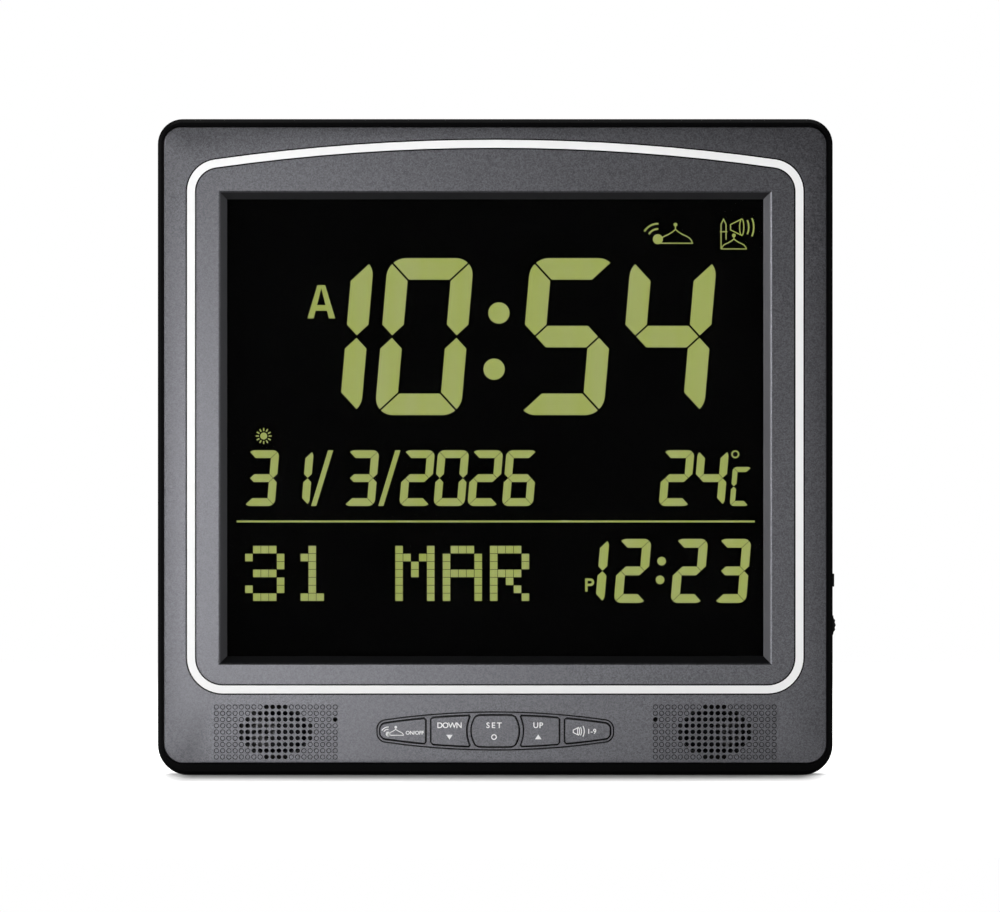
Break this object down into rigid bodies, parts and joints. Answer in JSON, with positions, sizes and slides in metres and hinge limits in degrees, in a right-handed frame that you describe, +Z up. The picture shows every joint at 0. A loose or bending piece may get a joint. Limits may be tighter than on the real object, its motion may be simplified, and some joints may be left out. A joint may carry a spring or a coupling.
{
  "type": "azan clock",
  "caption": "Wide digital azan clock with a display window, inlaid trim, key cluster, speaker grilles, side controls, sliding battery door, folding stand leg and wall keyholes.",
  "frame": {"origin": "on the flat base, under the middle of the case in X and Y", "axes": "+X to the viewer's right, +Y from the display towards the back, +Z up"},
  "size_m": [0.2716, 0.0324, 0.2624],
  "materials": {
    "black_abs": "fine textured moulding",
    "graphite_paint": "graphite paint with fine metallic sparkle, satin",
    "key_paint": "graphite paint with fine metallic sparkle, satin",
    "white_trim": "smooth white moulding",
    "clear_acrylic": "clear and polished",
    "display_glass": "polished, dark behind its film",
    "white_sheet": "soft white film",
    "white_abs": "plain moulding",
    "black_plastic": "plain moulding",
    "switch_stem": "smooth moulding",
    "circuit_board": "green solder mask",
    "black_resin": "cured resin",
    "capacitor_sleeve": "shrink sleeve",
    "battery_sleeve": null,
    "nickel": "nickel-plated spring steel",
    "steel": "zinc-plated",
    "magnet": "plated",
    "speaker_frame": "black paint",
    "speaker_cone": "coated film",
    "rubber": "soft, dull"
  },
  "bodies": {
    "case": {"rear_cabinet": "black_abs", "front_shell": "graphite_paint", "trim_ring": "white_trim", "key_plate": "graphite_paint", "tact_switches": "black_plastic", "key_board": "circuit_board", "display_lens": "clear_acrylic", "lcd_front_glass": "display_glass", "lcd_rear_glass": "display_glass", "diffuser_sheet": "white_sheet", "light_guide": "clear_acrylic", "reflector_sheet": "white_sheet", "led_strip": "circuit_board", "lcd_holder": "white_abs", "zebra_strip": "rubber", "main_board": "circuit_board", "clock_chip": "black_resin", "sound_chip": "black_resin", "crystal": "steel", "capacitors": "capacitor_sleeve", "thermistor": "black_resin", "dc_jack": "black_plastic", "speaker_gaskets": "rubber", "speaker_baskets": "speaker_frame", "speaker_cones": "speaker_cone", "speaker_magnets": "magnet", "battery_1": "battery_sleeve", "battery_2": "battery_sleeve", "battery_3": "battery_sleeve", "contact_plates": "nickel", "contact_springs": "nickel", "side_board": "circuit_board", "volume_pot": "black_plastic", "slide_switch": "steel", "case_screws": "steel", "holder_screws": "steel", "board_screws": "steel", "small_screws": "steel"},
    "key_azan": {"key_azan": "key_paint", "switch_stem_azan": "switch_stem"},
    "key_down": {"key_down": "key_paint", "switch_stem_down": "switch_stem"},
    "key_set": {"key_set": "key_paint", "switch_stem_set": "switch_stem"},
    "key_up": {"key_up": "key_paint", "switch_stem_up": "switch_stem"},
    "key_tune": {"key_tune": "key_paint", "switch_stem_tune": "switch_stem"},
    "stand_leg": {"stand_leg": "black_abs", "leg_pad": "rubber"},
    "battery_door": {"battery_door": "black_abs"},
    "volume_wheel": {"volume_wheel": "black_plastic"},
    "slide_knob": {"slide_knob": "black_plastic"}
  },
  "joints": [
    {"name": "key_azan_press", "type": "slide", "parent": "case", "child": "key_azan", "axis": [0, 1, 0], "range_m": [0, 0.0005], "stiffness_N_per_m": 800},
    {"name": "key_down_press", "type": "slide", "parent": "case", "child": "key_down", "axis": [0, 1, 0], "range_m": [0, 0.0005], "stiffness_N_per_m": 800},
    {"name": "key_set_press", "type": "slide", "parent": "case", "child": "key_set", "axis": [0, 1, 0], "range_m": [0, 0.0005], "stiffness_N_per_m": 800},
    {"name": "key_up_press", "type": "slide", "parent": "case", "child": "key_up", "axis": [0, 1, 0], "range_m": [0, 0.0005], "stiffness_N_per_m": 800},
    {"name": "key_tune_press", "type": "slide", "parent": "case", "child": "key_tune", "axis": [0, 1, 0], "range_m": [0, 0.0005], "stiffness_N_per_m": 800},
    {"name": "volume_turn", "type": "hinge", "parent": "case", "child": "volume_wheel", "pos_m": [0.129, 0.0006, 0.0598], "axis": [0, 1, 0], "range_deg": [-150, 150]},
    {"name": "switch_slide", "type": "slide", "parent": "case", "child": "slide_knob", "axis": [0, 0, -1], "range_m": [0, 0.002]},
    {"name": "leg_fold", "type": "hinge", "parent": "case", "child": "stand_leg", "pos_m": [0, 0.0136, 0.0913], "axis": [1, 0, 0], "range_deg": [0, 28]},
    {"name": "door_slide", "type": "slide", "parent": "case", "child": "battery_door", "axis": [1, 0, 0], "range_m": [0, 0.012]}
  ]
}
